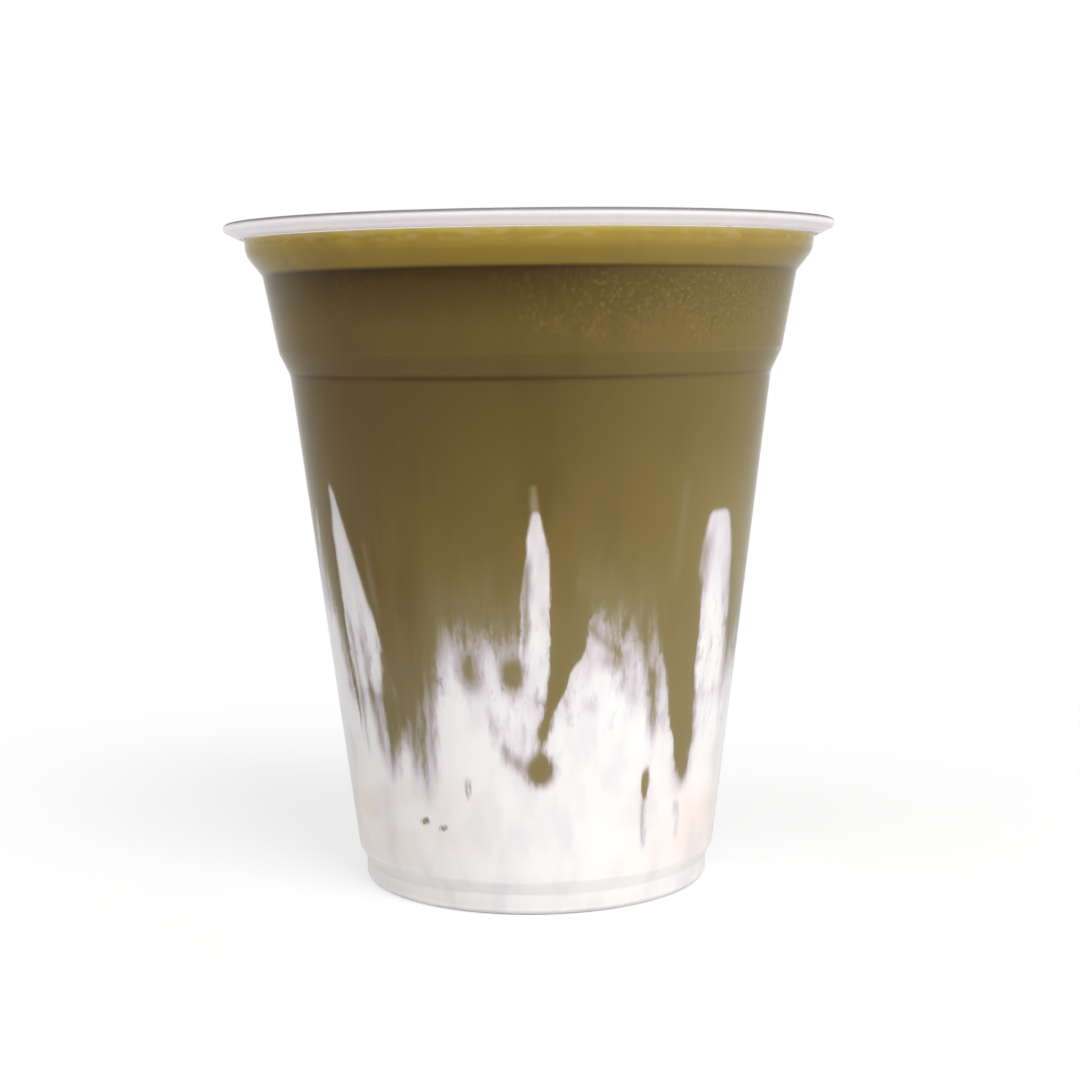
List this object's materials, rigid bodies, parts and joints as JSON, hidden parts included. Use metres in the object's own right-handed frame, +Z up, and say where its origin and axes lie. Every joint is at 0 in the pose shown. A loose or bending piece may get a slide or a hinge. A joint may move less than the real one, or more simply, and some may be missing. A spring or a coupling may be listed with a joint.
{
  "type": "hojicha latte",
  "caption": "Iced roasted green tea latte in a clear tapered plastic cup with a rolled rim, the tea hanging in tongues into white milk below.",
  "frame": {"origin": "centre of the ring that the cup stands on", "axes": "+Z up along the cup's axis, -Y the front that the swirl is arranged for, +X to its right"},
  "size_m": [0.098, 0.098, 0.1066],
  "materials": {
    "clear_cup": "clear thin formed plastic, smooth and glossy",
    "milk": "opaque white milk",
    "hojicha": "opaque olive-brown tea and milk with fine tea specks"
  },
  "bodies": {
    "root": {"cup": "clear_cup", "milk_layer": "milk", "tea_layer": "hojicha"}
  },
  "joints": []
}
